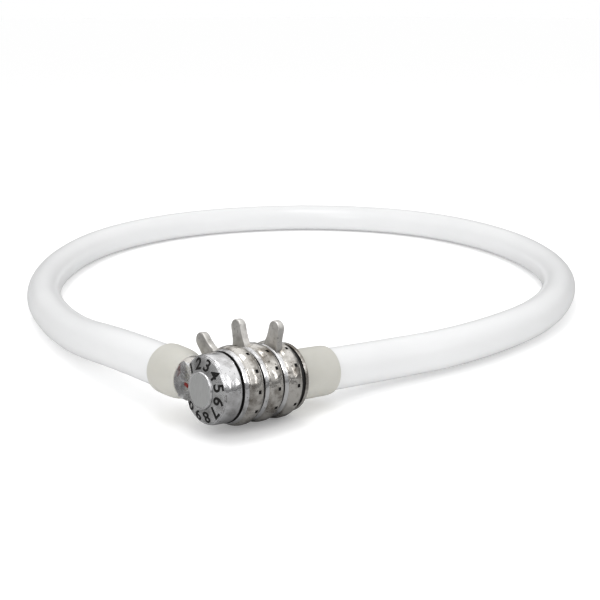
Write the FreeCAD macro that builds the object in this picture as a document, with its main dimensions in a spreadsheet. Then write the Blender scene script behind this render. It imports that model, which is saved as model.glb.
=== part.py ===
# Cable luggage lock: three lever rings on a slotted barrel, a locking pin on the free end
# of a sheathed steel cable, and the other cable end anchored in the side of the housing.
#
# The lock is drawn in its own frame: X runs from the dial face to the back along the axis of
# the rings, Y points out along the anchored cable end, and the origin is the centre of the
# front of the round plate in the dial. On its surface the lock lies nose up, because both
# cable ends run down to the surface, so every lock piece is placed turned about Y.
import FreeCAD, Part
import Sketcher
import math
import os
from types import SimpleNamespace

from FreeCAD import Placement, Rotation, Vector

doc = FreeCAD.newDocument("CableLuggageLock")
sheet = doc.addObject("Spreadsheet::Sheet", "Sizes")


class Size:
    """A length with the spreadsheet formula that gives it."""

    def __init__(self, number, formula):
        self.number = number
        self.formula = formula

    @staticmethod
    def of(other):
        return other if isinstance(other, Size) else Size(other, str(other))

    def __add__(self, other):
        other = Size.of(other)
        return Size(self.number + other.number, f"({self.formula} + {other.formula})")

    def __sub__(self, other):
        other = Size.of(other)
        return Size(self.number - other.number, f"({self.formula} - {other.formula})")

    def __mul__(self, factor):
        factor = Size.of(factor)
        return Size(self.number * factor.number, f"({self.formula} * {factor.formula})")

    def __truediv__(self, factor):
        return Size(self.number / factor, f"({self.formula} / {factor})")

    def __neg__(self):
        return Size(-self.number, f"(-{self.formula})")

    __radd__ = __add__
    __rmul__ = __mul__


# Driving dimensions, in millimetres and degrees.
driving = {
    # cable
    "cable_dia": 12.0,
    "core_dia": 4.0,
    # attitude on the surface
    "nose_up": 5.0,
    # dial
    "disc_dia": 9.8,
    "disc_depth": 1.6,
    "disc_bevel": 0.3,
    "face_inset": 0.5,
    "band_fall": 0.2,
    "rim_width": 0.6,
    "rim_rise": 0.3,
    "rim_run": 1.4,
    "first_digit": 41.0,
    "digit_step": 30.0,
    "mark_width": 0.8,
    "mark_depth": 0.6,
    "mark_margin": 0.4,
    # housing
    "housing_len": 7.0,
    "housing_dia": 18.4,
    "seat_web": 0.8,
    # rings
    "ring_len": 6.1,
    "ring_dia": 21.0,
    "ring_lip": 1.1,
    "ring_shoulder": 0.5,
    "ring_crown": 2.1,
    "lever_reach": 17.0,
    "lever_width": 4.3,
    "lever_thick": 2.0,
    "lever_inset": 0.5,
    "lever_sink": 1.0,
    "lever_flare": 0.55,
    "flare_len": 2.2,
    "pip_width": 0.8,
    "pip_depth": 0.35,
    "gate_thick": 2.4,
    "gate_wall": 1.88,
    "web_thick": 0.8,
    "notch_depth": 0.28,
    # stack between and behind the rings
    "spacer_thick": 0.2,
    "spacer_inset": 1.8,
    "washer_thick": 1.2,
    "flange_thick": 1.1,
    "flange_dia": 18.6,
    "washer_inset": 0.4,
    # barrel and pin
    "pin_dia": 6.9,
    "barrel_wall": 1.7,
    "lug_width": 2.0,
    "lug_rise": 1.0,
    "lug_inset": 0.4,
    "lug_clear": 0.5,
    "key_gap": 0.3,
    "pin_bevel": 0.8,
    "pin_nose": 2.4,
    "shoulder_ledge": 0.3,
    "shoulder_len": 2.0,
    "tail_len": 3.0,
    # click springs
    "strip_thick": 0.25,
    "strip_width": 1.2,
    "strip_len": 4.0,
    "strip_rise": 0.6,
    # sleeves and ferrules
    "sleeve_wall": 0.85,
    "sleeve_len": 14.0,
    "mouth_taper": 0.9,
    "mouth_round": 0.6,
    "ferrule_wall": 1.0,
    "ferrule_len": 6.5,
    "anchor_station": 5.5,
    "collar_dia": 12.0,
    "collar_clear": 0.7,
    "collar_overlap": 0.4,
    "neck_dia": 10.8,
    "neck_len": 5.8,
    "anchor_sleeve_len": 11.3,
    "waist_len": 3.4,
    "cross_pin_dia": 1.5,
    "cross_pin_inset": 2.8,
    # clearances and broken edges
    "edge": 0.4,
    "side_gap": 0.1,
    "run_gap": 0.07,
    "slip_gap": 0.05,
}
for row, (alias, number) in enumerate(driving.items(), start=1):
    sheet.set(f"A{row}", alias)
    sheet.set(f"B{row}", str(number))
    sheet.setAlias(f"B{row}", alias)
doc.recompute()
dim = SimpleNamespace(**{alias: Size(number, f"Sizes.{alias}") for alias, number in driving.items()})
zero = Size(0.0, "0")

RING_COUNT = 3
STEPS_PER_TURN = 12

# Radii.
cable_rad = dim.cable_dia / 2
core_rad = dim.core_dia / 2
disc_rad = dim.disc_dia / 2
housing_rad = dim.housing_dia / 2
ring_rad = dim.ring_dia / 2
flange_rad = dim.flange_dia / 2
pin_rad = dim.pin_dia / 2
barrel_rad = pin_rad + dim.slip_gap + dim.barrel_wall
gate_bore_rad = barrel_rad + dim.run_gap
gate_ring_rad = gate_bore_rad + dim.gate_wall
lug_rad = barrel_rad + dim.lug_rise
key_rad = lug_rad + dim.key_gap
web_bore_rad = lug_rad + dim.key_gap + dim.side_gap
shoulder_rad = barrel_rad + dim.shoulder_ledge
ferrule_rad = core_rad + dim.ferrule_wall
collar_rad = dim.collar_dia / 2
neck_rad = dim.neck_dia / 2
cross_pin_rad = dim.cross_pin_dia / 2
sleeve_bore = cable_rad + dim.slip_gap
sleeve_rad = sleeve_bore + dim.sleeve_wall
disc_seat_rad = disc_rad + dim.slip_gap
key_width = dim.lug_width + dim.side_gap * 2
cross_pin_height = ferrule_rad + cross_pin_rad / 2

# Stations along the lock's axis.
barrel_front = dim.disc_depth + dim.seat_web
spacer_space = dim.spacer_thick + dim.side_gap * 2
ring_pitch = dim.ring_len + spacer_space
first_ring = dim.housing_len + spacer_space
washer_front = first_ring + ring_pitch * (RING_COUNT - 1) + dim.ring_len + dim.side_gap
flange_front = washer_front + dim.washer_thick
flange_rear = flange_front + dim.flange_thick
shoulder_front = flange_rear + dim.side_gap
shoulder_rear = shoulder_front + dim.shoulder_len
tail_end = shoulder_rear + dim.tail_len
ferrule_end = shoulder_rear + dim.ferrule_len
sheath_start = ferrule_end + dim.slip_gap
sleeve_end = shoulder_front + dim.sleeve_len
gate_rear = dim.ring_len - dim.web_thick
gate_front = gate_rear - dim.gate_thick
lug_len = gate_front - dim.lug_inset - dim.lug_clear
mark_floor = dim.face_inset + dim.mark_depth

# Distances out from the lock's axis, along the anchored cable end.
collar_end = ring_rad + dim.collar_clear
neck_end = collar_end + dim.neck_len
anchor_floor = collar_end - dim.edge - dim.side_gap
anchor_sleeve_end = collar_end + dim.anchor_sleeve_len
cross_pin_station = collar_end + dim.cross_pin_inset
anchor_sheath_start = neck_end + dim.slip_gap


def ring_front(index):
    return first_ring + ring_pitch * index


# The lock's attitude, and the surface it lies on.
tilt = Placement(Vector(0, 0, 0), Rotation(Vector(0, 1, 0), dim.nose_up.number))
anchor_place = tilt.multiply(
    Placement(Vector(dim.anchor_station.number, 0, 0), Rotation(Vector(0, 0, 1), 90))
)
lean = math.radians(dim.nose_up.number)
last_ring_rear = ring_front(RING_COUNT - 1) + dim.ring_len
rest_height = -max(
    radius.number * math.cos(lean) + station.number * math.sin(lean)
    for radius, station in ((flange_rad, flange_rear), (ring_rad, last_ring_rear - dim.edge * 4))
)


def plane_of(body, role):
    return next(feature for feature in body.Origin.OriginFeatures if feature.Role == role)


def new_body(label, place=tilt):
    body = doc.addObject("PartDesign::Body", label)
    body.Label = label
    body.Placement = place
    return body


def new_sketch(body, name, role, offset=None):
    sketch = body.newObject("Sketcher::SketchObject", name)
    sketch.AttachmentSupport = (plane_of(body, role), [""])
    sketch.MapMode = "FlatFace"
    if offset is not None:
        sketch.setExpression("AttachmentOffset.Base.z", offset.formula)
    return sketch


def fix_point(sketch, geometry, point, along, across):
    """Holds one sketch point at its formulas, measured from the sketch's origin."""
    for kind, axis, size in (("DistanceX", -2, along), ("DistanceY", -1, across)):
        if abs(size.number) < 1e-9:
            sketch.addConstraint(Sketcher.Constraint("PointOnObject", geometry, point, axis))
            continue
        if size.number > 0:
            ends = (-1, 1, geometry, point)
            formula = size.formula
        else:
            ends = (geometry, point, -1, 1)
            formula = (-size).formula
        index = sketch.addConstraint(Sketcher.Constraint(kind, *ends, abs(size.number)))
        sketch.setExpression(f"Constraints[{index}]", formula)


def draw_outline(sketch, corners):
    """A closed outline of straight edges through corners, each a pair of sizes."""
    corners = [(Size.of(along), Size.of(across)) for along, across in corners]
    places = [Vector(along.number, across.number, 0) for along, across in corners]
    count = len(places)
    for index in range(count):
        sketch.addGeometry(Part.LineSegment(places[index], places[(index + 1) % count]))
    for index in range(count):
        following = (index + 1) % count
        sketch.addConstraint(Sketcher.Constraint("Coincident", index, 2, following, 1))
    for index, (along, across) in enumerate(corners):
        fix_point(sketch, index, 1, along, across)


def draw_circle(sketch, along, across, radius):
    along, across = Size.of(along), Size.of(across)
    centre = Vector(along.number, across.number, 0)
    sketch.addGeometry(Part.Circle(centre, Vector(0, 0, 1), radius.number))
    fix_point(sketch, 0, 3, along, across)
    index = sketch.addConstraint(Sketcher.Constraint("Radius", 0, radius.number))
    sketch.setExpression(f"Constraints[{index}]", radius.formula)


def rectangle(low_along, high_along, low_across, high_across):
    return [
        (low_along, low_across),
        (high_along, low_across),
        (high_along, high_across),
        (low_along, high_across),
    ]


def turned(body, corners, kind="PartDesign::Revolution"):
    """A full turn about the body's X axis, of an outline in station and radius."""
    name = "Profile" if kind.endswith("Revolution") else "Clearance"
    sketch = new_sketch(body, name, "XY_Plane")
    draw_outline(sketch, corners)
    turn = body.newObject(kind, "Turn")
    turn.Profile = sketch
    turn.ReferenceAxis = (sketch, ["H_Axis"])
    turn.Angle = 360
    return turn


def padded(body, sketch, length, both=False, backwards=False):
    pad = body.newObject("PartDesign::Pad", "Pad")
    pad.Profile = sketch
    pad.setExpression("Length", length.formula)
    if both:
        pad.SideType = "Symmetric"
    pad.Reversed = backwards
    return pad


def pocketed(body, sketch, length=None, backwards=False, both=False):
    """A pocket of one length, or one that goes right through."""
    pocket = body.newObject("PartDesign::Pocket", "Pocket")
    pocket.Profile = sketch
    if length is None:
        pocket.Type = "ThroughAll"
    else:
        pocket.setExpression("Length", length.formula)
    if both:
        pocket.SideType = "Symmetric"
    pocket.Reversed = backwards
    return pocket


def repeated(body, feature, count):
    """Repeats a pocket round the body's X axis."""
    doc.recompute()
    pattern = body.newObject("PartDesign::PolarPattern", "Around")
    pattern.Originals = [feature]
    pattern.Axis = (plane_of(body, "X_Axis"), [""])
    pattern.Angle = 360
    pattern.Occurrences = count
    body.Tip = pattern
    return pattern


def cut_keyway(body, front):
    """The slot that the pin's lugs run in, open downwards and to the back."""
    sketch = new_sketch(body, "Keyway", "YZ_Plane", front)
    draw_outline(sketch, rectangle(-(key_width / 2), key_width / 2, -key_rad, -(pin_rad / 2)))
    return pocketed(body, sketch, flange_rear, backwards=True)


def make_housing():
    body = new_body("front_housing")
    seat = dim.disc_depth
    rim_rad = housing_rad - dim.rim_width
    rim_front = dim.face_inset + dim.band_fall
    rim_rear = rim_front + dim.rim_rise
    turned(
        body,
        [
            (seat, zero),
            (seat, disc_seat_rad),
            (dim.face_inset, disc_seat_rad),
            (rim_front, rim_rad - dim.rim_width),
            (rim_rear, rim_rad),
            (rim_rear + dim.rim_run, housing_rad),
            (dim.housing_len - dim.edge, housing_rad + dim.side_gap),
            (dim.housing_len, housing_rad - dim.edge + dim.side_gap),
            (dim.housing_len, barrel_rad),
            (barrel_front, barrel_rad),
            (barrel_front, zero),
        ],
    )
    start = barrel_rad + dim.mark_margin * 2
    for name, radius, end in (("Collar", collar_rad, collar_end), ("Neck", neck_rad, neck_end)):
        sketch = new_sketch(body, name, "XZ_Plane", -start)
        draw_circle(sketch, dim.anchor_station, zero, radius)
        padded(body, sketch, end - start, backwards=True)
    # Behind the housing's back face the collar is cut away to just past its end, so that the
    # first ring and the root of its lever clear it.
    turned(
        body,
        rectangle(
            dim.housing_len, dim.housing_len + ring_pitch, zero, collar_end + dim.collar_overlap
        ),
        "PartDesign::Groove",
    )
    # The collar is dressed flush with the dial.
    turned(
        body,
        [
            (-collar_rad, disc_seat_rad),
            (dim.face_inset, disc_seat_rad),
            (rim_front, rim_rad - dim.rim_width),
            (rim_front + dim.side_gap, rim_rad),
            (rim_front + dim.side_gap, neck_end * 2),
            (-collar_rad, neck_end * 2),
        ],
        "PartDesign::Groove",
    )
    bore = new_sketch(body, "AnchorBore", "XZ_Plane", -anchor_floor)
    draw_circle(bore, dim.anchor_station, zero, ferrule_rad + dim.slip_gap)
    pocketed(body, bore, neck_end)
    hole = new_sketch(body, "CrossPinHole", "YZ_Plane")
    draw_circle(hole, cross_pin_station, cross_pin_height, cross_pin_rad)
    pocketed(body, hole, backwards=True)
    recess = new_sketch(body, "MarkRecess", "YZ_Plane", mark_floor)
    draw_outline(recess, mark_outline())
    pocketed(body, recess, mark_floor * 2)


def mark_outline():
    inner = disc_seat_rad + dim.mark_margin
    outer = housing_rad - dim.rim_width * 2 - dim.side_gap
    return rectangle(inner, outer, -dim.mark_width, zero)


def make_disc():
    body = new_body("centre_disc")
    turned(
        body,
        [
            (zero, zero),
            (zero, disc_rad - dim.disc_bevel),
            (dim.disc_bevel, disc_rad),
            (dim.disc_depth, disc_rad),
            (dim.disc_depth, zero),
        ],
    )


def make_mark():
    body = new_body("index_mark")
    sketch = new_sketch(body, "MarkOutline", "YZ_Plane", mark_floor)
    draw_outline(sketch, mark_outline())
    padded(body, sketch, dim.mark_depth, backwards=True)


def spring_centre(index):
    return ring_front(index) + gate_front + dim.gate_thick / 2


def spring_seat():
    """Height of the floor of a click spring's pocket above the lock's axis."""
    return barrel_rad - (dim.strip_rise + dim.strip_thick + dim.slip_gap * 3)


def make_barrel():
    body = new_body("barrel")
    bore = pin_rad + dim.slip_gap
    turned(body, rectangle(barrel_front, flange_rear, bore, barrel_rad))
    cut_keyway(body, first_ring)
    for index in range(RING_COUNT):
        half_len = dim.strip_len / 2 + dim.side_gap
        half_width = dim.strip_width / 2 + dim.side_gap
        sketch = new_sketch(body, f"SpringPocket{index + 1}", "XY_Plane", spring_seat())
        middle = spring_centre(index)
        draw_outline(
            sketch, rectangle(middle - half_len, middle + half_len, -half_width, half_width)
        )
        pocketed(body, sketch, barrel_rad, backwards=True)


def make_click_spring(index):
    """A bent strip with two feet and a raised middle, drawn pressed down."""
    body = new_body(f"click_spring_{index + 1}")
    sketch = new_sketch(body, "Strip", "XZ_Plane")
    middle = spring_centre(index)
    foot = spring_seat() + dim.slip_gap
    half = dim.strip_len / 2
    top = foot + dim.strip_rise
    thick = dim.strip_thick
    draw_outline(
        sketch,
        [
            (middle - half, foot),
            (middle - half * 0.75, foot),
            (middle - half * 0.25, top),
            (middle + half * 0.25, top),
            (middle + half * 0.75, foot),
            (middle + half, foot),
            (middle + half, foot + thick),
            (middle + half * 0.8, foot + thick),
            (middle + half * 0.3, top + thick),
            (middle - half * 0.3, top + thick),
            (middle - half * 0.8, foot + thick),
            (middle - half, foot + thick),
        ],
    )
    padded(body, sketch, dim.strip_width, both=True)


def make_lever_ring(index):
    """The ring is drawn with its lever straight up and turned to its digit by its placement."""
    digit_angle = dim.first_digit.number + index * dim.digit_step.number
    turn = Placement(Vector(0, 0, 0), Rotation(Vector(1, 0, 0), digit_angle - 90))
    body = new_body(f"lever_ring_{index + 1}", tilt.multiply(turn))
    front = ring_front(index)
    rear = front + dim.ring_len
    turned(
        body,
        [
            (front, gate_ring_rad),
            (front, ring_rad - dim.ring_lip),
            (front + dim.ring_shoulder, ring_rad - dim.edge),
            (front + dim.ring_lip + dim.ring_shoulder, ring_rad - dim.side_gap / 2),
            (front + dim.ring_crown + dim.ring_shoulder, ring_rad),
            (rear - dim.edge * 4, ring_rad - dim.side_gap),
            (rear - dim.ring_shoulder, ring_rad - dim.ring_shoulder),
            (rear, ring_rad - dim.ring_lip - dim.side_gap),
            (rear, web_bore_rad),
            (front + gate_rear, web_bore_rad),
            (front + gate_rear, gate_ring_rad),
        ],
    )
    half = dim.lever_width / 2
    foot = half + dim.lever_flare
    root = ring_rad - dim.lever_sink
    waist = ring_rad + dim.flare_len
    crown = dim.lever_reach - half
    tab = new_sketch(body, "Lever", "YZ_Plane", front + dim.lever_inset)
    draw_outline(
        tab,
        [
            (-foot, root),
            (foot, root),
            (half, waist),
            (half, crown),
            (-half, crown),
            (-half, waist),
        ],
    )
    padded(body, tab, dim.lever_thick)
    tip = new_sketch(body, "LeverTip", "YZ_Plane", front + dim.lever_inset)
    draw_circle(tip, zero, crown, half)
    padded(body, tip, dim.lever_thick)
    # Small square pips round the ring, half a step from the lever.
    pip = new_sketch(body, "Pip", "XY_Plane")
    half_step = Rotation(Vector(1, 0, 0), 180 / STEPS_PER_TURN)
    pip_floor = half_step.multVec(Vector(0, 0, (ring_rad - dim.pip_depth).number))
    pip.AttachmentOffset = Placement(pip_floor, half_step)
    half_pip = dim.pip_width / 2
    middle = front + dim.ring_len * 0.64
    draw_outline(pip, rectangle(middle - half_pip, middle + half_pip, -half_pip, half_pip))
    pips = pocketed(body, pip, dim.pip_depth * 3, backwards=True)
    repeated(body, pips, STEPS_PER_TURN)


def make_gate_ring(index):
    body = new_body(f"gate_ring_{index + 1}")
    front = ring_front(index) + gate_front
    turned(body, rectangle(front, front + dim.gate_thick, gate_bore_rad, gate_ring_rad))
    notch = new_sketch(body, "ClickNotch", "YZ_Plane", front - dim.side_gap)
    half = dim.strip_width * 0.4
    draw_outline(notch, rectangle(-half, half, barrel_rad, gate_bore_rad + dim.notch_depth))
    cut = pocketed(body, notch, dim.gate_thick + dim.side_gap * 2, backwards=True)
    repeated(body, cut, STEPS_PER_TURN)
    gate = new_sketch(body, "Gate", "YZ_Plane", front - dim.side_gap)
    draw_outline(gate, rectangle(-(key_width / 2), key_width / 2, -key_rad, -(pin_rad / 2)))
    pocketed(body, gate, dim.gate_thick + dim.side_gap * 2, backwards=True)


def make_stack_plate(label, front, thick, radius, edge):
    """A washer or flange on the barrel, with a keyway and softened edges."""
    body = new_body(label)
    turned(
        body,
        [
            (front, barrel_rad),
            (front, radius - edge),
            (front + edge, radius),
            (front + thick - edge, radius),
            (front + thick, radius - edge),
            (front + thick, barrel_rad),
        ],
    )
    cut_keyway(body, front - dim.side_gap)


def make_pin():
    body = new_body("locking_pin")
    nose = first_ring - dim.pin_nose
    turned(
        body,
        [
            (nose, zero),
            (nose, pin_rad - dim.pin_bevel),
            (nose + dim.pin_bevel, pin_rad),
            (shoulder_front, pin_rad),
            (shoulder_front, shoulder_rad),
            (shoulder_rear, shoulder_rad),
            (shoulder_rear, core_rad),
            (tail_end, core_rad),
            (tail_end, zero),
        ],
    )
    for index in range(RING_COUNT):
        sketch = new_sketch(body, f"Lug{index + 1}", "YZ_Plane", ring_front(index) + dim.lug_inset)
        half = dim.lug_width / 2
        draw_outline(sketch, rectangle(-half, half, -lug_rad, -(pin_rad / 2)))
        padded(body, sketch, lug_len)


def make_pin_ferrule():
    body = new_body("pin_ferrule")
    turned(
        body,
        [
            (shoulder_rear, core_rad),
            (shoulder_rear, ferrule_rad),
            (ferrule_end, ferrule_rad),
            (ferrule_end, core_rad + dim.slip_gap),
            (tail_end, core_rad + dim.slip_gap),
            (tail_end, core_rad),
        ],
    )


def make_pin_sleeve():
    body = new_body("pin_sleeve")
    turned(
        body,
        [
            (shoulder_front, shoulder_rad),
            (shoulder_front, sleeve_rad - dim.edge),
            (shoulder_front + dim.edge, sleeve_rad),
            (sleeve_end - dim.mouth_taper, sleeve_rad - dim.side_gap),
            (sleeve_end, sleeve_rad - dim.mouth_round),
            (sleeve_end, sleeve_bore),
            (ferrule_end, sleeve_bore),
            (ferrule_end, ferrule_rad),
            (shoulder_rear, ferrule_rad),
            (shoulder_rear, shoulder_rad),
        ],
    )


def make_anchor_sleeve():
    """The sleeve on the anchored end, necked where it meets the collar."""
    body = new_body("anchor_sleeve", anchor_place)
    foot = collar_end + dim.slip_gap
    waist = foot + dim.waist_len
    turned(
        body,
        [
            (foot, neck_rad),
            (foot, collar_rad - dim.side_gap * 2),
            (foot + dim.edge * 3, collar_rad - dim.side_gap),
            (waist, sleeve_rad),
            (anchor_sleeve_end - dim.mouth_taper, sleeve_rad - dim.side_gap),
            (anchor_sleeve_end, sleeve_rad - dim.mouth_round),
            (anchor_sleeve_end, sleeve_bore),
            (neck_end, sleeve_bore),
            (neck_end, neck_rad),
        ],
    )


def make_anchor_ferrule():
    body = new_body("anchor_ferrule", anchor_place)
    station = cross_pin_station
    groove = ferrule_rad - cross_pin_rad / 2
    reach = cross_pin_rad + dim.side_gap
    turned(
        body,
        [
            (anchor_floor, core_rad),
            (anchor_floor, ferrule_rad),
            (station - reach, ferrule_rad),
            (station - reach, groove),
            (station + reach, groove),
            (station + reach, ferrule_rad),
            (neck_end, ferrule_rad),
            (neck_end, core_rad),
        ],
    )


def make_anchor_pin():
    body = new_body("anchor_pin")
    half = neck_rad * 0.65
    sketch = new_sketch(body, "Section", "YZ_Plane", dim.anchor_station - half)
    draw_circle(sketch, cross_pin_station, cross_pin_height, cross_pin_rad)
    padded(body, sketch, half * 2)


# The cable's route between its two straight ends, chosen by hand. X and Y are places on the
# surface, and the third value is how far the centreline is above its lying height.
lead_out = 60.0
route = [
    (97, -6, 0.8),
    (148, 1, 0.5),
    (198, 33, 0.2),
    (232, 86, 0.0),
    (237, 144, 0.0),
    (208, 192, 0.0),
    (156, 217, 0.0),
    (104, 211, 0.0),
    (61, 181, 0.0),
    (27, 136, 0.2),
    (11, 86, 0.5),
]
lead_in = 43.0


def cable_points(pin_station, anchor_depth):
    lying = rest_height + cable_rad.number
    points = [tilt.multVec(Vector(pin_station, 0, 0)), tilt.multVec(Vector(lead_out, 0, 0))]
    points += [Vector(x, y, lying + rise) for x, y, rise in route]
    points += [anchor_place.multVec(Vector(depth, 0, 0)) for depth in (lead_in, anchor_depth)]
    return points


def cable_path(points, report=False):
    """Straight runs joined by tangent arcs, each arc as large as its shorter run allows."""
    edges = []
    start = points[0]
    for before, corner, after in zip(points, points[1:], points[2:]):
        into = (corner - before).normalize()
        out = (after - corner).normalize()
        turn = into.getAngle(out)
        shorter = min((corner - before).Length, (after - corner).Length)
        cut_back = 0.45 * shorter
        radius = cut_back / math.tan(turn / 2)
        if report:
            print(f"route turn {math.degrees(turn):.1f} degrees, radius {radius:.0f} mm")
        arc_start = corner - into * cut_back
        arc_end = corner + out * cut_back
        inwards = (out - into).normalize()
        middle = corner + inwards * (radius / math.cos(turn / 2) - radius)
        edges.append(Part.LineSegment(start, arc_start).toShape())
        edges.append(Part.Arc(arc_start, middle, arc_end).toShape())
        start = arc_end
    edges.append(Part.LineSegment(start, points[-1]).toShape())
    return Part.Wire(edges)


def sweep(path, points, radius):
    ring = Part.Wire([Part.makeCircle(radius, points[0], points[1] - points[0])])
    return path.makePipeShell([ring], True, False)


def make_cable():
    core_points = cable_points(tail_end.number, anchor_floor.number)
    core_path = cable_path(core_points)
    core = doc.addObject("Part::Feature", "cable_core")
    core.Label = "cable_core"
    core.Shape = sweep(core_path, core_points, core_rad.number)
    sheath_points = cable_points(sheath_start.number, anchor_sheath_start.number)
    sheath_path = cable_path(sheath_points, report=True)
    outside = sweep(sheath_path, sheath_points, cable_rad.number)
    expected = math.pi * cable_rad.number**2 * sheath_path.Length
    print(f"sheath {sheath_path.Length:.1f} mm long, volume against section x length "
          f"{outside.Volume / expected:.4f}")
    sheath = doc.addObject("Part::Feature", "cable_sheath")
    sheath.Label = "cable_sheath"
    sheath.Shape = outside.cut(sweep(core_path, core_points, core_rad.number))
    return [core, sheath]


make_housing()
make_disc()
make_mark()
make_barrel()
for ring in range(RING_COUNT):
    make_lever_ring(ring)
    make_gate_ring(ring)
    make_click_spring(ring)
    make_stack_plate(
        f"spacer_washer_{ring + 1}",
        ring_front(ring) - dim.side_gap - dim.spacer_thick,
        dim.spacer_thick,
        ring_rad - dim.spacer_inset,
        dim.spacer_thick / 4,
    )
washer_rad = flange_rad - dim.washer_inset
make_stack_plate("rear_washer", washer_front, dim.washer_thick, washer_rad, dim.side_gap)
make_stack_plate("rear_flange", flange_front, dim.flange_thick, flange_rad, dim.side_gap * 2)
make_pin()
make_pin_ferrule()
make_pin_sleeve()
make_anchor_sleeve()
make_anchor_ferrule()
make_anchor_pin()
cable = make_cable()
doc.recompute()

for thing in doc.Objects:
    if "Invalid" in thing.State or "Error" in thing.State:
        raise RuntimeError(f"{thing.Label} failed: {thing.State}")
pieces = [thing for thing in doc.Objects if thing.TypeId == "PartDesign::Body"] + cable
os.makedirs("parts", exist_ok=True)
for piece in pieces:
    if piece.Shape.isNull() or not piece.Shape.isValid():
        raise RuntimeError(f"{piece.Label} has no valid shape")
    piece.Shape.exportStep(f"parts/{piece.Label}.step")
    print(f"{piece.Label}: {piece.Shape.Volume:.1f} mm3, {len(piece.Shape.Solids)} solid")
print(f"surface at {rest_height:.2f} mm")
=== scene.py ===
import bmesh
import bpy
import math
from mathutils import Matrix, Vector
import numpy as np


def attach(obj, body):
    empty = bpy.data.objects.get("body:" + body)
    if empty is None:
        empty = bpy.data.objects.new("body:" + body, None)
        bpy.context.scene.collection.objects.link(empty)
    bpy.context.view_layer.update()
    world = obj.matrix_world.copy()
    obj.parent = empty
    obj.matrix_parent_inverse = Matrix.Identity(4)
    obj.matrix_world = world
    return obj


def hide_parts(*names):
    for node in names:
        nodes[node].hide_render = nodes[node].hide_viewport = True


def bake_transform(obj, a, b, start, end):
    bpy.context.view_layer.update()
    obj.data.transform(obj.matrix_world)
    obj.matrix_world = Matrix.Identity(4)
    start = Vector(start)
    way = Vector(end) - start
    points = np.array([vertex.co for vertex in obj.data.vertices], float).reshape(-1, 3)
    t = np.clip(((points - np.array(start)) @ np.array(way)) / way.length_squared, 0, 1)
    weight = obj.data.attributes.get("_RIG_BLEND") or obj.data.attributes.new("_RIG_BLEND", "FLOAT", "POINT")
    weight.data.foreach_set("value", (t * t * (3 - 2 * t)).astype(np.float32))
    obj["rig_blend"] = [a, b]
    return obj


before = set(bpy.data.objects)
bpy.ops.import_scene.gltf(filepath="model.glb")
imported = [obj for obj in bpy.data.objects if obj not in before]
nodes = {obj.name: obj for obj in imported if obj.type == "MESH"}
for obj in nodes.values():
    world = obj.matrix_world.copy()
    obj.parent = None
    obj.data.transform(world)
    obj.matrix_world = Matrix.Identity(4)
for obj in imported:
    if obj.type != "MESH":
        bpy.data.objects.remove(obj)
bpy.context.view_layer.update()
print("frame loaded with", len(nodes), "nodes")

# The lock is drawn in millimetres on its own axis: X runs from the dial to the back, and Y out
# along the anchored cable end. lockPlace turns it to how it lies, in metres.
layout = {
    "noseUp": 5.0,            # degrees
    "anchorStation": 5.5,     # mm behind the dial
    "surface": -0.01263,      # m, what the lock lies on
    "weldDistance": 1e-3,     # mm, for a finished piece
    "seamDistance": 1e-4,     # mm, where a turned outline meets itself
    "cutDistance": 1e-5,      # mm
}
millimetre = 0.001
lockPlace = Matrix.Rotation(math.radians(layout["noseUp"]), 4, "Y") @ Matrix.Scale(millimetre, 4)
sideways = Matrix.Translation((layout["anchorStation"], 0, 0)) @ Matrix.Rotation(math.pi / 2, 4, "Z")
anchorPlace = lockPlace @ sideways


class Signal:  # a socket that takes part in sums and products
    def __init__(self, tree, socket):
        self.tree = tree
        self.socket = socket

    def joined(self, operation, first, second):
        return self.tree.node("ShaderNodeMath", {"operation": operation}, {0: first, 1: second})

    def __add__(self, other):
        return self.joined("ADD", self, other)

    def __radd__(self, other):
        return self.joined("ADD", other, self)

    def __rsub__(self, other):
        return self.joined("SUBTRACT", other, self)

    def __mul__(self, other):
        return self.joined("MULTIPLY", self, other)

    def __rmul__(self, other):
        return self.joined("MULTIPLY", other, self)


class Tree:
    def __init__(self, owner):
        owner.use_nodes = True
        self.nodes = owner.node_tree.nodes
        self.links = owner.node_tree.links

    def node(self, kind, settings, values, output=0):
        made = self.nodes.new(kind)
        for key, value in settings.items():
            if key == "stops":
                self.setStops(made.color_ramp.elements, value)
            else:
                setattr(made, key, value)
        for key, value in values.items():
            self.feed(made.inputs[key], value)
        if made.outputs:
            return Signal(self, made.outputs[output])

    def setStops(self, elements, stops):
        for index, (where, grey) in enumerate(stops):
            stop = elements[index] if index < len(elements) else elements.new(where)
            stop.position = where
            stop.color = (grey, grey, grey, 1)

    def feed(self, socket, value):
        if isinstance(value, Signal):
            self.links.new(value.socket, socket)
        else:
            socket.default_value = value

    def ramp(self, signal, stops):
        return self.node("ShaderNodeValToRGB", {"stops": stops}, {"Fac": signal})


class Finish(Tree):
    def __init__(self, name, fixed):
        self.material = bpy.data.materials.new(name)
        super().__init__(self.material)
        self.shader = self.nodes["Principled BSDF"]
        for socket, value in fixed.items():
            self.give(socket, value)
        self.place = self.node("ShaderNodeTexCoord", {}, {}, "Object")

    def give(self, socket, value):
        self.feed(self.shader.inputs[socket], value)

    def noise(self, size, detail, sharp, stretch=None):  # features about size mm across
        place = self.place
        if stretch:
            place = self.node("ShaderNodeMapping", {}, {"Vector": place, "Scale": stretch})
        values = {"Vector": place, "Scale": 1 / (size * millimetre), "Detail": detail, "Roughness": sharp}
        return self.node("ShaderNodeTexNoise", {}, values)

    def blend(self, factor, low, high):
        values = {0: factor, 6: asColour(low), 7: asColour(high)}
        return self.node("ShaderNodeMix", {"data_type": "RGBA"}, values, 2)

    def relief(self, height, depth=1.0):  # depth in mm
        self.give("Normal", self.node("ShaderNodeBump", {}, {"Height": height, "Distance": depth * millimetre}))


def asColour(value):
    return value if isinstance(value, Signal) else (*value, 1.0)


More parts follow.
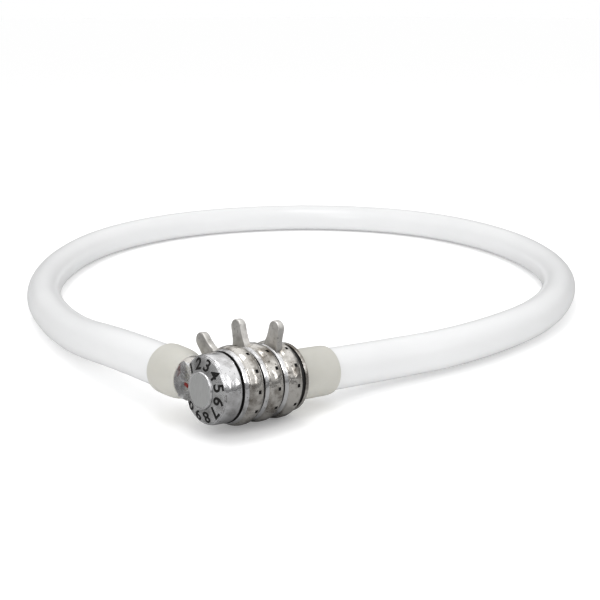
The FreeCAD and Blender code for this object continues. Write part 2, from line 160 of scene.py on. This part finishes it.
# Plated die casting: blotches of tarnish, soft lumps and small pits. Sizes and depths in mm.
castGrain = {
    "blotchSize": 5.5, "fineSize": 0.9, "pitSize": 0.7, "lumpSize": 3.2,
    "pitEdge": [(0.27, 0.0), (0.36, 1.0)], "pitShade": 0.5, "fineRough": 0.12, "fineShare": 0.35,
}


def castFinish(name, look):
    finish = Finish(name, {"Metallic": 1.0})
    blotch = finish.ramp(finish.noise(castGrain["blotchSize"], 4, 0.6), look["cover"])
    fine = finish.noise(castGrain["fineSize"], 4, 0.6)
    pits = finish.ramp(finish.noise(castGrain["pitSize"], 3, 0.5), castGrain["pitEdge"])
    tone = finish.blend(blotch, look["dark"], look["light"])
    # The pits are painted at half the dark tone: painted shade in the pits.
    pitTone = tuple(castGrain["pitShade"] * part for part in look["dark"])
    finish.give("Base Color", finish.blend(pits, pitTone, tone))
    bright, dull = look["rough"]
    finish.give("Roughness", bright + (dull - bright) * (1 - blotch) + castGrain["fineRough"] * fine)
    lumps = finish.noise(castGrain["lumpSize"], 2, 0.4)
    pit = look["pitDepth"]
    finish.relief(lumps * look["lumpDepth"] + fine * (castGrain["fineShare"] * pit) + pits * pit)
    return finish.material


# A fine grain that moves colour, roughness and relief together. Here and in the clouds, rough
# is the least roughness and what the grain adds to it.
def grainFinish(name, look):
    finish = Finish(name, look["fixed"])
    grain = finish.noise(look["size"], look.get("detail", 3), 0.6, look.get("stretch"))
    finish.give("Base Color", finish.blend(grain, look["dark"], look["light"]))
    smooth, more = look["rough"]
    finish.give("Roughness", smooth + more * grain)
    finish.relief(grain, look["depth"])
    return finish.material


# Slow clouds of colour, over a fine skin and a slight swell.
def cloudFinish(name, look):
    finish = Finish(name, look["fixed"])
    cloud = finish.noise(look["cloudSize"], 3, 0.5)
    if "cover" in look:
        cloud = finish.ramp(cloud, look["cover"])
    skin = finish.noise(look["skinSize"], 3, 0.6)
    finish.give("Base Color", finish.blend(cloud, look["dark"], look["light"]))
    smooth, more = look["rough"]
    finish.give("Roughness", smooth + more * skin)
    finish.relief(skin * look["skinDepth"] + finish.noise(look["swellSize"], 2, 0.4) * look["swellDepth"])
    return finish.material


# Cast finishes give the roughness of the bright and of the tarnished metal.
castMetal = castFinish("platedDieCast", {
    "dark": (0.20, 0.178, 0.152), "light": (0.74, 0.715, 0.675), "rough": (0.09, 0.26),
    "pitDepth": 0.014, "lumpDepth": 0.50, "cover": [(0.36, 0.0), (0.56, 1.0)],
})
rimMetal = castFinish("polishedRim", {
    "dark": (0.40, 0.39, 0.385), "light": (0.84, 0.84, 0.85), "rough": (0.08, 0.18),
    "pitDepth": 0.006, "lumpDepth": 0.26, "cover": [(0.30, 0.0), (0.50, 1.0)],
})
leverMetal = castFinish("satinLever", {
    "dark": (0.46, 0.445, 0.42), "light": (0.80, 0.785, 0.76), "rough": (0.34, 0.50),
    "pitDepth": 0.02, "lumpDepth": 0.20, "cover": [(0.30, 0.0), (0.62, 1.0)],
})
dialMetal = cloudFinish("satinDial", {
    "fixed": {"Metallic": 1.0}, "dark": (0.34, 0.335, 0.33), "light": (0.78, 0.78, 0.785),
    "cloudSize": 4.5, "cover": [(0.30, 0.0), (0.60, 1.0)], "rough": (0.20, 0.16),
    "skinSize": 0.35, "skinDepth": 0.010, "swellSize": 2.6, "swellDepth": 0.16,
})
sleevePlastic = cloudFinish("warmGreyPlastic", {
    "fixed": {
        "Subsurface Weight": 0.25, "Subsurface Radius": (1.0, 0.95, 0.8), "Subsurface Scale": 0.0015,
        "IOR": 1.48,
    },
    "dark": (0.525, 0.515, 0.468), "light": (0.605, 0.597, 0.552), "cloudSize": 7.0, "rough": (0.34, 0.14),
    "skinSize": 0.35, "skinDepth": 0.012, "swellSize": 4.0, "swellDepth": 0.10,
})
sheathPvc = cloudFinish("milkyPvc", {
    "fixed": {
        "Subsurface Weight": 0.35, "Subsurface Radius": (1.0, 1.0, 1.0), "Subsurface Scale": 0.003,
        "IOR": 1.5, "Coat Weight": 0.25, "Coat Roughness": 0.08,
    },
    "dark": (0.800, 0.805, 0.810), "light": (0.850, 0.853, 0.856), "cloudSize": 26.0, "rough": (0.24, 0.16),
    "skinSize": 1.2, "skinDepth": 0.008, "swellSize": 14.0, "swellDepth": 0.22,
})
plateMetal = grainFinish("satinPlate", {
    "fixed": {"Metallic": 0.85}, "dark": (0.44, 0.445, 0.44), "light": (0.74, 0.745, 0.74),
    "size": 0.6, "stretch": (1.0, 3.0, 0.35), "rough": (0.36, 0.14), "depth": 0.010,
})
# Black fill of the digits; on the lever rings the same black is painted shade on the sides, the bore and in the
# pits.
inkAndPaintedShade = grainFinish("blackInkAndPaintedShade", {
    "fixed": {"Specular IOR Level": 0.2}, "dark": (0.004, 0.004, 0.004), "light": (0.016, 0.015, 0.014),
    "size": 0.3, "rough": (0.45, 0.3), "depth": 0.02,
})
markEnamel = grainFinish("darkRedEnamel", {
    "fixed": {"Specular IOR Level": 0.15}, "dark": (0.13, 0.014, 0.012), "light": (0.22, 0.022, 0.018),
    "size": 0.4, "rough": (0.45, 0.25), "depth": 0.02,
})
washerRubber = grainFinish("blackWasher", {
    "fixed": {"Specular IOR Level": 0.35}, "dark": (0.006, 0.006, 0.006), "light": (0.020, 0.019, 0.018),
    "size": 0.25, "detail": 4, "rough": (0.45, 0.3), "depth": 0.03,
})


def turnedFinish(name, dark, light, smooth):  # metal with the marks of a lathe along the axis
    look = {"fixed": {"Metallic": 1.0}, "dark": dark, "light": light, "rough": (smooth, 0.15)}
    return grainFinish(name, {**look, "size": 0.8, "stretch": (5.0, 0.6, 0.6), "depth": 0.012})


steel = turnedFinish("turnedSteel", (0.42, 0.42, 0.43), (0.62, 0.62, 0.63), 0.24)
springSteel = turnedFinish("springStrip", (0.20, 0.21, 0.24), (0.38, 0.39, 0.42), 0.28)
blackened = turnedFinish("blackenedWasher", (0.010, 0.010, 0.010), (0.035, 0.034, 0.032), 0.40)
brass = turnedFinish("turnedBrass", (0.50, 0.36, 0.15), (0.74, 0.57, 0.29), 0.26)
crimpMetal = turnedFinish("crimpAluminium", (0.52, 0.52, 0.52), (0.72, 0.72, 0.72), 0.34)
print("finishes made")


# Turns an outline of (station, radius) pairs a full turn about X into a closed shell.
def spun(outline, steps=144):
    mesh = bmesh.new()
    points = [mesh.verts.new((station, radius, 0)) for station, radius in outline]
    pairs = list(zip(points, points[1:]))
    if outline[0][1] > 0:
        pairs.append((points[-1], points[0]))
    edges = [mesh.edges.new(pair) for pair in pairs]
    bmesh.ops.spin(
        mesh, geom=points + edges, cent=(0, 0, 0), axis=(1, 0, 0), angle=2 * math.pi,
        steps=steps, use_merge=True,
    )
    bmesh.ops.remove_doubles(mesh, verts=mesh.verts, dist=layout["seamDistance"])
    bmesh.ops.recalc_face_normals(mesh, faces=mesh.faces)
    return mesh


# Eases each corner of an outline over a reach, which a third number in the corner overrides.
def rounded(outline, reach, segments=4):
    mostShare = 0.45  # of the shorter side beside the corner
    onAxis = outline[0][1] == 0
    last = len(outline) - 1
    eased = []
    for index, corner in enumerate(outline):
        here = Vector(corner[:2])
        before = Vector(outline[index - 1][:2]) - here
        after = Vector(outline[(index + 1) % len(outline)][:2]) - here
        size = corner[2] if len(corner) > 2 else reach
        if size == 0 or here.y == 0 or (onAxis and index in (0, last)):
            eased.append(tuple(here))
            continue
        size = min(size, mostShare * before.length, mostShare * after.length)
        start = here + before.normalized() * size
        end = here + after.normalized() * size
        for step in range(segments + 1):
            part = step / segments
            point = start * (1 - part) ** 2 + here * 2 * part * (1 - part) + end * part**2
            eased.append(tuple(point))
    return eased


def objectOf(name, mesh, materials):
    data = bpy.data.meshes.new(name)
    mesh.to_mesh(data)
    mesh.free()
    for material in materials:
        data.materials.append(material)
    made = bpy.data.objects.new(name, data)
    bpy.context.scene.collection.objects.link(made)
    return made


def radiusOf(face):
    return math.hypot(face.center.y, face.center.z)


def shape(piece, tool, operation):  # joins or cuts piece with tool, and drops the tool
    change = piece.modifiers.new("shape", "BOOLEAN")
    change.object = tool
    change.operation = operation
    change.solver = "EXACT"
    change.material_mode = "TRANSFER"
    bpy.context.view_layer.update()
    result = bpy.data.meshes.new_from_object(piece.evaluated_get(bpy.context.evaluated_depsgraph_get()))
    piece.modifiers.clear()
    old = piece.data
    piece.data = result
    bpy.data.meshes.remove(old)
    bpy.data.objects.remove(tool)


def settle(piece, place, angle):  # puts the mesh in its place and smooths it up to angle
    mesh = bmesh.new()
    mesh.from_mesh(piece.data)
    bmesh.ops.remove_doubles(mesh, verts=mesh.verts, dist=layout["weldDistance"])
    bmesh.ops.dissolve_degenerate(mesh, edges=mesh.edges, dist=layout["weldDistance"])
    bmesh.ops.transform(mesh, matrix=place, verts=mesh.verts)
    mesh.to_mesh(piece.data)
    mesh.free()
    piece.data.shade_smooth()
    piece.data.set_sharp_from_angle(angle=math.radians(angle))
    return piece


def standFor(piece, body, node):
    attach(piece, body)
    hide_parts(node)


# Front housing. Outlines are (mm behind the dial, radius in mm, corner reach in mm).
dial = {
    "firstDigit": 41.0,       # degrees from the collar
    "digitStep": 30.0,
    "digits": "1234567890",
    "digitHeight": 3.15,
    "digitWidth": 1.06,       # times the font's own
    "fontHeight": 0.70,       # a digit's share of the font size
    "digitRadius": 6.86,
    "digitStation": 1.06,
    "slope": 17.2,            # degrees that the band falls away
    "fillDepth": 0.05,
    "strokeGain": 0.10,
}
housingShape = {
    "outline": [
        (1.6, 0.0), (1.6, 4.95, 0.05), (0.52, 4.95, 0.08), (0.52, 5.12, 0.05), (1.52, 8.35, 0.1),
        (1.72, 8.42, 0.05), (1.56, 8.56, 0.08), (1.74, 8.70, 0.05), (2.00, 8.70, 0.05),
        (1.90, 8.86, 0.08), (2.30, 9.02, 0.1), (3.0, 9.16, 0.4), (6.5, 9.22, 0.2), (7.0, 8.95, 0.15),
        (7.0, 5.2, 0.0), (2.4, 5.2, 0.0), (2.4, 0.0),
    ],
    # the collar, along the anchored cable end
    "collar": [
        (5.6, 0.0), (5.6, 6.0, 0.0), (10.9, 6.0, 0.25), (11.2, 5.75, 0.1), (11.2, 5.4, 0.0),
        (17.0, 5.4, 0.1), (17.0, 0.0),
    ],
    "collarBack": 6.98,
    # what dresses the collar flush with the dial
    "dressing": [(-4.0, 0.0), (-4.0, 14.0), (2.35, 11.5), (0.535, 5.12), (0.40, 4.0), (0.40, 0.0)],
    "dialFace": (8.4, 1.6),   # largest radius and station of the satin dial
    "rim": (8.3, 9.6, 6.9),   # radii and last station of the polished rim
    "smoothAngle": 30,
}


# A place on the dial where Y points outwards, X along the turn and Z out of the face.
def dialPlace(angle, radius, station):
    turn = Matrix.Rotation(math.radians(angle), 4, "X")
    face = Matrix(((0, 0, -1, 0), (0, 1, 0, 0), (1, 0, 0, 0), (0, 0, 0, 1)))
    return turn @ Matrix.Translation((station, radius, 0)) @ face


def addDigit(mesh, text, place, fillSlot):
    curve = bpy.data.curves.new("digit", "FONT")
    curve.body = text
    curve.size = dial["digitHeight"] / dial["fontHeight"]
    curve.offset = dial["strokeGain"]
    curve.extrude = dial["fillDepth"]
    data = bpy.data.meshes.new_from_object(bpy.data.objects.new("digit", curve))
    corners = [vertex.co for vertex in data.vertices]
    low = Vector((min(c.x for c in corners), min(c.y for c in corners), 0))
    high = Vector((max(c.x for c in corners), max(c.y for c in corners), 0))
    fit = Matrix.Diagonal((dial["digitWidth"], dial["digitHeight"] / (high.y - low.y), 1, 1))
    data.transform(place @ fit @ Matrix.Translation(-(low + high) / 2))
    first = len(mesh.faces)
    mesh.from_mesh(data)
    mesh.faces.ensure_lookup_table()
    for face in mesh.faces[first:]:
        face.material_index = fillSlot
    bpy.data.curves.remove(curve)
    bpy.data.meshes.remove(data)


def makeCollar():
    mesh = spun(rounded(housingShape["collar"], 0.1), 96)
    bmesh.ops.transform(mesh, matrix=sideways, verts=mesh.verts)
    everything = mesh.verts[:] + mesh.edges[:] + mesh.faces[:]
    flat = bmesh.ops.bisect_plane(
        mesh, geom=everything, plane_co=(housingShape["collarBack"], 0, 0), plane_no=(1, 0, 0),
        clear_outer=True, dist=layout["cutDistance"],
    )
    rim = [part for part in flat["geom_cut"] if isinstance(part, bmesh.types.BMEdge)]
    bmesh.ops.holes_fill(mesh, edges=rim)
    bmesh.ops.recalc_face_normals(mesh, faces=mesh.faces)
    collar = objectOf("collar", mesh, [castMetal])
    shape(collar, objectOf("dressing", spun(housingShape["dressing"], 180), [rimMetal]), "DIFFERENCE")
    return collar


def makeHousing():
    finishes = [castMetal, rimMetal, dialMetal, inkAndPaintedShade]
    housing = objectOf("frontHousing", spun(rounded(housingShape["outline"], 0.05)), finishes)
    shape(housing, makeCollar(), "UNION")
    dialRadius, dialBack = housingShape["dialFace"]
    rimInner, rimOuter, rimBack = housingShape["rim"]
    for face in housing.data.polygons:
        if radiusOf(face) < dialRadius and face.center.x < dialBack:
            face.material_index = finishes.index(dialMetal)
        elif rimInner < radiusOf(face) < rimOuter and face.center.x < rimBack:
            face.material_index = finishes.index(rimMetal)
    mesh = bmesh.new()
    mesh.from_mesh(housing.data)
    lean = Matrix.Rotation(-math.radians(dial["slope"]), 4, "X")
    for index, text in enumerate(dial["digits"]):
        angle = dial["firstDigit"] + index * dial["digitStep"]
        place = dialPlace(angle, dial["digitRadius"], dial["digitStation"]) @ lean
        addDigit(mesh, text, place, finishes.index(inkAndPaintedShade))
    mesh.to_mesh(housing.data)
    mesh.free()
    return settle(housing, lockPlace, housingShape["smoothAngle"])


standFor(makeHousing(), "lock_body", "front_housing")
print("front housing made")

plate = {
    "outline": [
        (0.10, 0.0), (0.06, 4.30, 0.4), (0.0, 4.55, 0.08), (0.0, 4.72, 0.1), (0.30, 4.9, 0.1),
        (1.6, 4.9, 0.0), (1.6, 0.0),
    ],
    "rimRadius": 4.3,
    "smoothAngle": 30,
}


def makePlate():
    made = objectOf("centreDisc", spun(rounded(plate["outline"], 0.1)), [plateMetal, rimMetal])
    for face in made.data.polygons:
        face.material_index = int(radiusOf(face) > plate["rimRadius"])
    return settle(made, lockPlace, plate["smoothAngle"])


standFor(makePlate(), "lock_body", "centre_disc")

mark = {"size": (0.40, 2.5, 0.80), "place": (0.98, 6.95, -0.40), "ease": 0.12, "smoothAngle": 40}


def makeMark():
    mesh = bmesh.new()
    bmesh.ops.create_cube(mesh, size=1)
    bmesh.ops.scale(mesh, vec=mark["size"], verts=mesh.verts)
    lean = Matrix.Rotation(-math.radians(dial["slope"]), 3, "Z")
    bmesh.ops.rotate(mesh, cent=(0, 0, 0), matrix=lean, verts=mesh.verts)
    bmesh.ops.translate(mesh, vec=mark["place"], verts=mesh.verts)
    bmesh.ops.bevel(
        mesh, geom=mesh.edges[:], offset=mark["ease"], affect="EDGES", segments=3, profile=0.5, material=-1
    )
    return settle(objectOf("indexMark", mesh, [markEnamel]), lockPlace, mark["smoothAngle"])


standFor(makeMark(), "lock_body", "index_mark")
print("dial plate and index mark made")

# Lever rings. The outline starts at the ring's own front.
ring = {
    "outline": [
        (0.0, 7.15, 0.0), (0.0, 9.25, 0.1), (0.28, 9.62, 0.1), (1.05, 9.80, 0.1), (1.15, 9.66, 0.05),
        (1.32, 9.66, 0.05), (1.52, 10.05, 0.1), (2.3, 10.38, 0.4), (3.3, 10.5, 0.5), (4.7, 10.38, 0.5),
        (5.5, 10.02, 0.3), (5.95, 9.55, 0.1), (6.1, 9.2, 0.05), (6.1, 6.6, 0.0), (5.3, 6.6, 0.0),
        (5.3, 7.15, 0.0),
    ],
    "firstFront": 7.4,
    "pitch": 6.5,
    "strip": (9.3, 1.1),      # least radius and last station of the polished strip
    "groove": (9.5, 5.9),     # largest radius and first station of the sides and bore painted black: painted shade between the rings
    "pips": 12,
    "pipSize": (0.95, 0.95, 0.8),
    "pipPlace": (3.9, 0, 10.55),
    "smoothAngle": 30,
}
lever = {
    "flank": [(2.75, 9.2), (2.72, 10.35), (2.48, 11.1), (2.27, 12.0), (2.15, 13.2), (2.15, 14.85)],
    "reach": 17.0,
    "front": 0.5,
    "thick": 2.0,
    "tipStep": 15,            # degrees
    "ease": 0.38,
    "easeAbove": 9.5,
    "sharpAngle": 1.0,        # radians
}


# The paddle stands along Z: a flared foot, straight sides and a round top, with eased edges.
def leverBlank():
    half, crown = lever["flank"][-1]
    angles = [math.radians(step) for step in range(lever["tipStep"], 90, lever["tipStep"])]
    side = lever["flank"] + [(half * math.cos(a), crown + half * math.sin(a)) for a in angles]
    outline = side + [(0.0, lever["reach"])] + [(-across, up) for across, up in reversed(side)]
    mesh = bmesh.new()
    face = mesh.faces.new([mesh.verts.new((lever["front"], across, up)) for across, up in outline])
    grown = bmesh.ops.extrude_face_region(mesh, geom=[face])
    moved = [part for part in grown["geom"] if isinstance(part, bmesh.types.BMVert)]
    bmesh.ops.translate(mesh, vec=(lever["thick"], 0, 0), verts=moved)
    bmesh.ops.recalc_face_normals(mesh, faces=mesh.faces)
    sharp = [edge for edge in mesh.edges if edge.calc_face_angle(0) > lever["sharpAngle"]]
    rims = [edge for edge in sharp if max(v.co.z for v in edge.verts) > lever["easeAbove"]]
    bmesh.ops.bevel(
        mesh, geom=rims, offset=lever["ease"], affect="EDGES", segments=4, profile=0.5, material=-1
    )
    return mesh


def pipBlanks():
    mesh = bmesh.new()
    for step in range(ring["pips"]):
        added = bmesh.ops.create_cube(mesh, size=1)["verts"]
        bmesh.ops.scale(mesh, vec=ring["pipSize"], verts=added)
        bmesh.ops.translate(mesh, vec=ring["pipPlace"], verts=added)
        turn = Matrix.Rotation((step + 0.5) * 2 * math.pi / ring["pips"], 3, "X")
        bmesh.ops.rotate(mesh, cent=(0, 0, 0), matrix=turn, verts=added)
    return mesh


def makeRing(index):
    finishes = [castMetal, rimMetal, leverMetal, inkAndPaintedShade]
    made = objectOf(f"leverRing{index + 1}", spun(rounded(ring["outline"], 0.1)), finishes)
    stripRadius, stripBack = ring["strip"]
    grooveRadius, grooveFront = ring["groove"]
    for face in made.data.polygons:
        if face.center.x < stripBack and radiusOf(face) > stripRadius:
            face.material_index = finishes.index(rimMetal)
        # The sides and bore take the black: painted shade between the rings.
        elif radiusOf(face) < grooveRadius or face.center.x > grooveFront:
            face.material_index = finishes.index(inkAndPaintedShade)
    shape(made, objectOf("lever", leverBlank(), [leverMetal]), "UNION")
    # The pits take the tool's black: painted shade in the recesses.
    shape(made, objectOf("pips", pipBlanks(), [inkAndPaintedShade]), "DIFFERENCE")
    pointed = dial["firstDigit"] + index * dial["digitStep"] - 90
    turn = Matrix.Rotation(math.radians(pointed), 4, "X")
    slide = Matrix.Translation((ring["firstFront"] + index * ring["pitch"], 0, 0))
    return settle(made, lockPlace @ slide @ turn, ring["smoothAngle"])


for index in range(3):
    standFor(makeRing(index), f"ring_{index + 1}", f"lever_ring_{index + 1}")
print("lever rings made")

plates = {
    "rearWasher": {
        "outline": [(26.6, 5.2, 0), (26.6, 8.9, 0.3), (27.8, 8.9, 0.3), (27.8, 5.2, 0)],
        "finish": washerRubber, "node": "rear_washer", "slot": "black_washer",
    },
    "rearFlange": {
        "outline": [(27.8, 5.2, 0), (27.8, 9.3, 0.22), (28.9, 9.3, 0.3), (28.9, 5.2, 0)],
        "finish": castMetal, "node": "rear_flange", "slot": "plated_die_cast",
    },
}
for name, facts in plates.items():
    made = objectOf(name, spun(rounded(facts["outline"], 0.1, 5)), [facts["finish"]])
    standFor(settle(made, lockPlace, 35), "lock_body", facts["node"])

sleeves = {
    "pinSleeve": {
        "outline": [
            (29.0, 5.5, 0), (29.0, 6.70, 0.3), (31.5, 6.88, 1.0), (36.0, 6.98, 1.5), (41.8, 6.95, 0.8),
            (42.7, 6.82, 0.4), (42.98, 6.45, 0.2), (42.98, 6.06, 0.1), (37.5, 6.06, 0), (37.5, 3.0, 0),
            (31.0, 3.0, 0), (31.0, 5.5, 0),
        ],
        "place": lockPlace, "body": "cable_plug", "node": "pin_sleeve",
    },
    "anchorSleeve": {
        "outline": [
            (11.25, 5.42, 0), (11.25, 5.78, 0.12), (12.3, 5.92, 0.6), (14.0, 6.55, 0.9), (16.0, 6.88, 1.0),
            (20.8, 6.95, 1.0), (22.0, 6.80, 0.4), (22.46, 6.42, 0.2), (22.46, 6.06, 0.1), (17.0, 6.06, 0),
            (17.0, 5.42, 0),
        ],
        "place": anchorPlace, "body": "lock_body", "node": "anchor_sleeve",
    },
}
for name, facts in sleeves.items():
    made = objectOf(name, spun(rounded(facts["outline"], 0.3, 6), 96), [sleevePlastic])
    standFor(settle(made, facts["place"], 45), facts["body"], facts["node"])
print("washer, flange and sleeves made")

cable = {
    "diameter": 0.012,        # metres, as are the core and the length
    "coreDiameter": 0.004,
    "length": 0.680,
    "sheathStart": 37.55,     # mm along the lock's axis
    "coreStart": 34.0,
    "leadOut": 60.0,
    "leadIn": 43.0,           # mm along the anchored end
    "sleeveMouth": 22.5,
    "sheathEnd": 17.05,
    "coreEnd": 10.7,
    # mm across the surface, and mm above where the cable lies
    "route": [
        (97, -6, 0.8), (148, 1, 0.5), (198, 33, 0.2), (232, 86, 0.0), (237, 144, 0.0), (208, 192, 0.0),
        (156, 217, 0.0), (104, 211, 0.0), (61, 181, 0.0), (27, 136, 0.2), (11, 86, 0.5),
    ],
    "stillEnd": 0.06,         # share of the length that stays with the anchor
    "givingPart": 0.80,       # share over which the cable takes up the plug's travel
    "smoothAngle": 50,
    "weldDistance": 1e-6,
}


def cablePoints(start, end):
    lying = layout["surface"] + cable["diameter"] / 2
    points = [lockPlace @ Vector((station, 0, 0)) for station in (start, cable["leadOut"])]
    for x, y, rise in cable["route"]:
        points.append(Vector((x * millimetre, y * millimetre, lying + rise * millimetre)))
    return points + [anchorPlace @ Vector((depth, 0, 0)) for depth in (cable["leadIn"], end)]


def cableMesh(points, thickness):
    curve = bpy.data.curves.new("cable", "CURVE")
    curve.dimensions = "3D"
    curve.resolution_u = 14
    spline = curve.splines.new("NURBS")
    spline.points.add(len(points) - 1)
    for point, place in zip(spline.points, points):
        point.co = (*place, 1)
    spline.order_u = 3
    spline.use_endpoint_u = True
    curve.bevel_depth = thickness / 2
    curve.bevel_resolution = 12
    curve.use_fill_caps = True
    data = bpy.data.meshes.new_from_object(bpy.data.objects.new("cable", curve))
    bpy.data.curves.remove(curve)
    return data


def centreline(points):  # read from the curve with no bevel
    data = cableMesh(points, 0)
    line = [vertex.co.copy() for vertex in data.vertices]
    bpy.data.meshes.remove(data)
    return line


# The whole loop gives way: the share of the plug's travel grows smoothly along the cable.
def shareTravel(piece, line):
    along = [0.0]
    for before, after in zip(line, line[1:]):
        along.append(along[-1] + (after - before).length)
    share = piece.data.attributes["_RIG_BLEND"].data
    for vertex in piece.data.vertices:
        nearest = min(range(len(line)), key=lambda index: (line[index] - vertex.co).length_squared)
        left = 1 - along[nearest] / along[-1]
        part = min(1.0, max(0.0, (left - cable["stillEnd"]) / cable["givingPart"]))
        share[vertex.index].value = part * part * (3 - 2 * part)


def makeCable(name, points, thickness, finish):
    mesh = bmesh.new()
    mesh.from_mesh(cableMesh(points, thickness))
    bmesh.ops.remove_doubles(mesh, verts=mesh.verts, dist=cable["weldDistance"])
    bmesh.ops.recalc_face_normals(mesh, faces=mesh.faces)
    made = objectOf(name, mesh, [finish])
    made.data.shade_smooth()
    made.data.set_sharp_from_angle(angle=math.radians(cable["smoothAngle"]))
    line = centreline(points)
    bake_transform(made, "lock_body", "cable_plug", start=line[-1], end=line[0])
    shareTravel(made, line)
    return made


sheathPoints = cablePoints(cable["sheathStart"], cable["sheathEnd"])
sheath = makeCable("cableSheath", sheathPoints, cable["diameter"], sheathPvc)
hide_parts("cable_sheath")
core = makeCable("cableCore", cablePoints(cable["coreStart"], cable["coreEnd"]), cable["coreDiameter"], steel)
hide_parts("cable_core")
centreline(sheathPoints)
print("cable made")

# The pieces inside the lock keep their shape and get their finish here.
inner = {
    "barrel": steel, "locking_pin": steel, "anchor_pin": steel,
    "pin_ferrule": crimpMetal, "anchor_ferrule": crimpMetal,
}
for index in range(1, 4):
    inner[f"gate_ring_{index}"] = brass
    inner[f"spacer_washer_{index}"] = blackened
    inner[f"click_spring_{index}"] = springSteel
for name, finish in inner.items():
    if not nodes[name].material_slots:
        nodes[name].data.materials.append(finish)
    for place in nodes[name].material_slots:
        place.material = finish
print("inner pieces finished")

stage = {
    "middle": (0.11, 0.10),
    "floorWidth": 30.0,
    "floorDrop": 0.0001,
    "toneWidth": 6.0,
    "toneDrop": 0.00005,
    "floor": {
        "Base Color": (0.90, 0.90, 0.90, 1), "Roughness": 0.9, "Specular IOR Level": 0.0,
        "Emission Color": (1, 1, 1, 1), "Emission Strength": 0.22,
    },
    "tone": {"Base Color": (0.36, 0.36, 0.36, 1), "Roughness": 1.0, "Specular IOR Level": 0.0},
    "background": 1.0,
    "room": [(0.0, 0.12), (0.10, 0.20), (0.32, 0.50), (0.60, 1.0), (1.0, 0.95)],  # height, grey
    "panels": [
        # name, place, aimed at, width, depth, watts
        ("overhead", (0.02, 0.05, 0.60), (0.03, 0.02, 0.0), 0.34, 0.22, 0.8),
        ("leftFront", (-0.55, -0.20, 0.35), (0.01, 0.0, 0.0), 0.14, 0.34, 0.8),
        ("rightFront", (0.35, -0.55, 0.30), (0.02, 0.0, 0.0), 0.12, 0.30, 0.26),
    ],
}


def stagePlane(name, width, height, fixed):
    mesh = bmesh.new()
    bmesh.ops.create_grid(mesh, x_segments=1, y_segments=1, size=width / 2)
    bmesh.ops.translate(mesh, vec=(*stage["middle"], height), verts=mesh.verts)
    made = objectOf(name, mesh, [Finish(name, fixed).material])
    return made


def makeSurroundings():
    world = bpy.data.worlds.new("studio")
    bpy.context.scene.world = world
    tree = Tree(world)
    tree.nodes.clear()
    even = tree.node("ShaderNodeBackground", {}, {"Color": (1, 1, 1, 1), "Strength": stage["background"]})
    direction = tree.node("ShaderNodeTexCoord", {}, {}, "Generated")
    height = tree.node("ShaderNodeSeparateXYZ", {}, {0: direction}, "Z")
    room = tree.node("ShaderNodeBackground", {}, {"Color": tree.ramp(height, stage["room"])})
    seen = tree.node("ShaderNodeLightPath", {}, {}, "Is Camera Ray")
    mixed = tree.node("ShaderNodeMixShader", {}, {0: seen, 1: room, 2: even})
    tree.node("ShaderNodeOutputWorld", {}, {"Surface": mixed})


def makePanels():
    for name, place, target, width, depth, power in stage["panels"]:
        light = bpy.data.lights.new(name, "AREA")
        light.shape = "RECTANGLE"
        light.size = width
        light.size_y = depth
        light.energy = power
        made = bpy.data.objects.new(name, light)
        made.location = place
        made.rotation_euler = (Vector(target) - Vector(place)).to_track_quat("-Z", "Y").to_euler()
        made.visible_camera = False
        bpy.context.scene.collection.objects.link(made)


stagePlane("paleFloor", stage["floorWidth"], layout["surface"] - stage["floorDrop"], stage["floor"])
# The metal mirrors this greyer floor. Nothing else sees it.
tone = stagePlane("floorTone", stage["toneWidth"], layout["surface"] - stage["toneDrop"], stage["tone"])
tone.visible_camera = False
tone.visible_diffuse = False
tone.visible_shadow = False
tone.visible_transmission = False
makeSurroundings()
makePanels()

view = {"place": (-0.1529, -0.2146, 0.0925), "dip": 14.7, "azimuth": -41.0, "lens": 66.0, "sensor": 36.0}


def makeCamera():
    lens = bpy.data.cameras.new("camera")
    lens.lens = view["lens"]
    lens.sensor_width = view["sensor"]
    lens.clip_start = 0.01
    lens.clip_end = 60
    camera = bpy.data.objects.new("camera", lens)
    camera.location = view["place"]
    camera.rotation_euler = (math.radians(90 - view["dip"]), 0, math.radians(view["azimuth"]))
    bpy.context.scene.collection.objects.link(camera)
    bpy.context.scene.camera = camera


makeCamera()
bpy.context.scene.view_settings.view_transform = "Standard"
print("stage, light and camera set")
